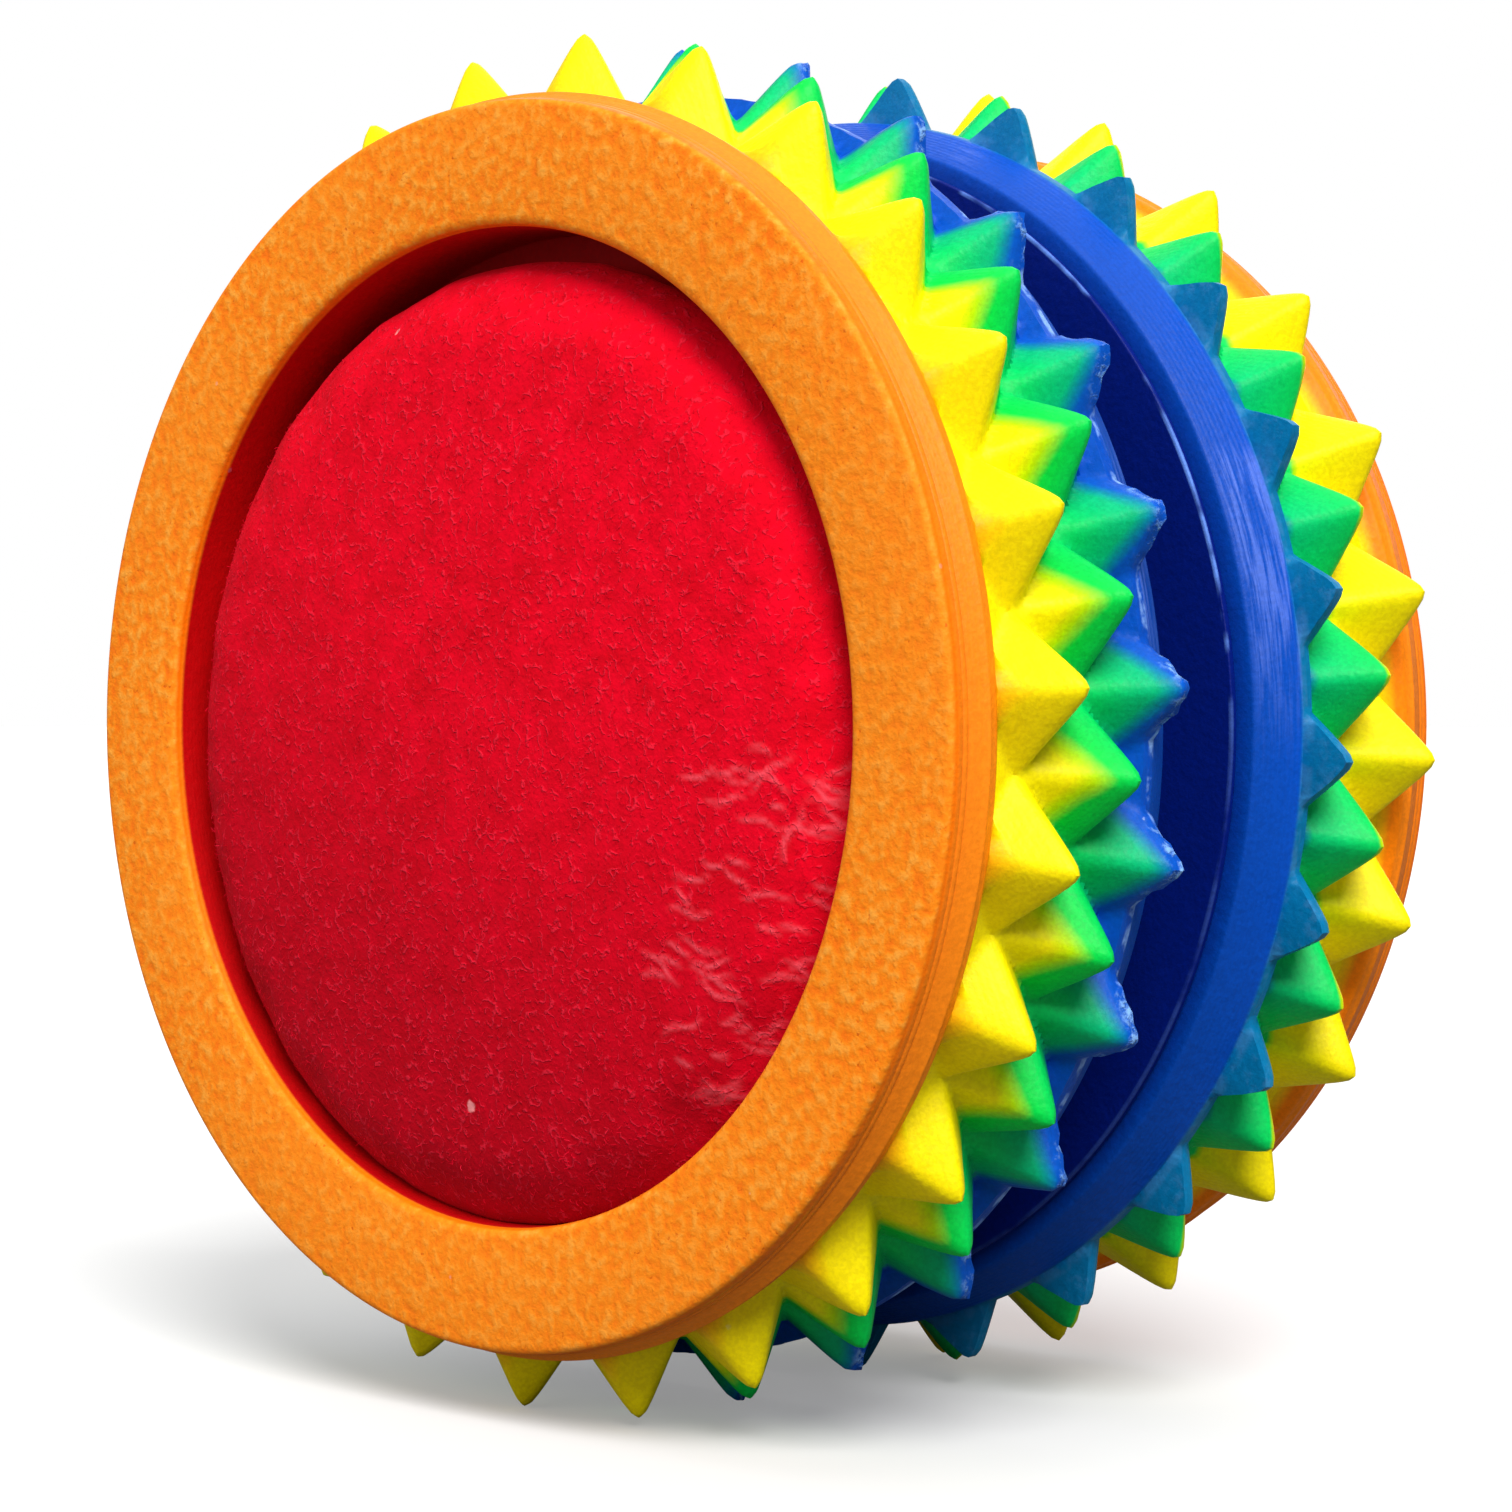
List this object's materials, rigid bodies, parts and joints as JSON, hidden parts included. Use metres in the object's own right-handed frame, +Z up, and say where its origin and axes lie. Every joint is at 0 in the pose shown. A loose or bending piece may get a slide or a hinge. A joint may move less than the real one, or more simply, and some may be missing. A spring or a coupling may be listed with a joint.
{
  "type": "spiked twist toy",
  "caption": "Hand toy of two spiked wheels that twist on a shared bearing axle, with a deep groove between them and a padded fleece dome in each outer face.",
  "frame": {"origin": "middle of the axle, halfway between the two wheels", "axes": "+Y along the axle from the front wheel to the rear wheel, +Z up with the toy standing on its spikes, +X to the right seen from the front"},
  "size_m": [0.06, 0.0346, 0.06],
  "materials": {
    "graded_plastic": "printed plastic that grades by layer from orange at the face through yellow and green to blue at the groove",
    "blue_plastic": "printed plastic, fine layer lines",
    "red_fleece": "short-napped stretch fleece",
    "foam": "open-cell foam",
    "board": "pressed fibre board",
    "tape": "double-sided foam tape",
    "bearing_steel": "ground bearing steel",
    "cage_plastic": "moulded nylon",
    "spring_steel": "blackened spring steel",
    "zinc_steel": "zinc-plated steel",
    "aluminium_spacer": "turned"
  },
  "bodies": {
    "front_wheel": {"front_wheel": "graded_plastic", "front_pad_cover": "red_fleece", "front_pad_foam": "foam", "front_pad_board": "board", "front_pad_tape": "tape", "front_bearing_outer_ring": "bearing_steel", "front_bearing_shields": "bearing_steel", "front_circlip": "spring_steel"},
    "axle": {"axle_sleeve": "zinc_steel", "bearing_spacer": "aluminium_spacer", "centre_spool": "blue_plastic", "axle_bolt": "zinc_steel", "lock_nut": "zinc_steel", "front_bearing_inner_ring": "bearing_steel", "rear_bearing_inner_ring": "bearing_steel", "front_washer": "zinc_steel", "rear_washer": "zinc_steel"},
    "rear_wheel": {"rear_wheel": "graded_plastic", "rear_pad_cover": "red_fleece", "rear_pad_foam": "foam", "rear_pad_board": "board", "rear_pad_tape": "tape", "rear_bearing_outer_ring": "bearing_steel", "rear_bearing_shields": "bearing_steel", "rear_circlip": "spring_steel"},
    "front_ball_set": {"front_bearing_balls": "bearing_steel", "front_bearing_cage": "cage_plastic"},
    "rear_ball_set": {"rear_bearing_balls": "bearing_steel", "rear_bearing_cage": "cage_plastic"}
  },
  "joints": [
    {"name": "front_twist", "type": "hinge", "parent": "front_wheel", "child": "axle", "pos_m": [0, 0, 0], "axis": [0, 1, 0], "continuous": true},
    {"name": "rear_twist", "type": "hinge", "parent": "axle", "child": "rear_wheel", "pos_m": [0, 0, 0], "axis": [0, 1, 0], "continuous": true},
    {"name": "front_balls_roll", "type": "hinge", "parent": "front_wheel", "child": "front_ball_set", "pos_m": [0, 0, 0], "axis": [0, 1, 0], "continuous": true},
    {"name": "rear_balls_roll", "type": "hinge", "parent": "axle", "child": "rear_ball_set", "pos_m": [0, 0, 0], "axis": [0, 1, 0], "continuous": true}
  ],
  "couplings": [
    {"joint": "front_balls_roll", "follows": "front_twist", "ratio": 0.417},
    {"joint": "rear_balls_roll", "follows": "rear_twist", "ratio": 0.583}
  ]
}
